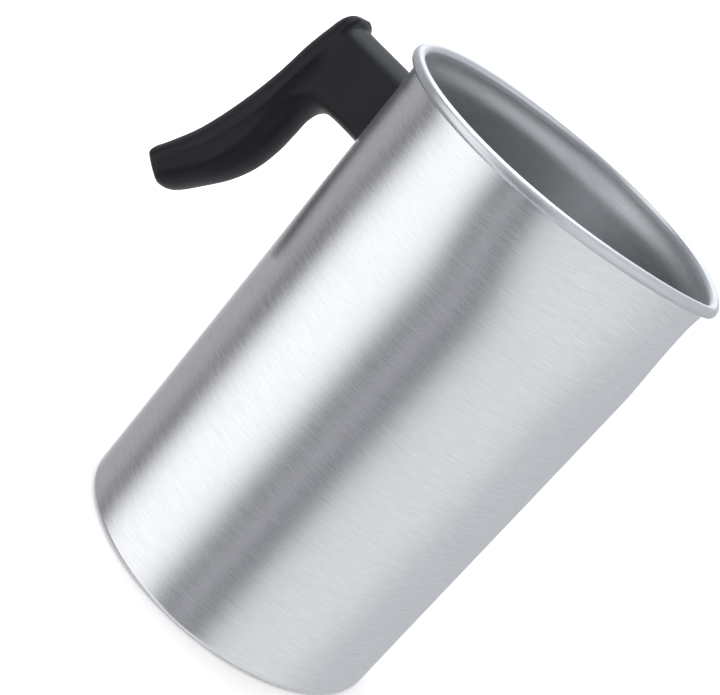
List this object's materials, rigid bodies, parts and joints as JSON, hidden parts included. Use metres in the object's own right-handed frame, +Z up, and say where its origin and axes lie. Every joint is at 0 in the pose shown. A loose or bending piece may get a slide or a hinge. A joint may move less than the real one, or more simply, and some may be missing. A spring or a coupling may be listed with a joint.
{
  "type": "candle melting pot",
  "caption": "Tall round aluminium pouring pot with a flat base, a rolled rim, a small pressed pour spout and a black moulded side handle opposite the spout.",
  "frame": {"origin": "centre of the flat underside of the pot, on the surface it stands on", "axes": "+Z up along the axis of the pot, +X towards the handle, -X towards the pour spout, +Y to the side"},
  "size_m": [0.1873, 0.1298, 0.18],
  "materials": {
    "pot_aluminium": "brushed round the axis",
    "rivet_aluminium": "satin",
    "bracket_steel": "zinc plated",
    "screw_steel": "zinc plated",
    "handle_plastic": "satin moulded phenolic"
  },
  "bodies": {
    "root": {"pot_body": "pot_aluminium", "handle_bracket": "bracket_steel", "rivet_lower": "rivet_aluminium", "rivet_upper": "rivet_aluminium", "handle_body": "handle_plastic", "square_nut": "screw_steel", "flat_washer": "screw_steel", "spring_washer": "screw_steel", "handle_screw": "screw_steel"}
  },
  "joints": []
}
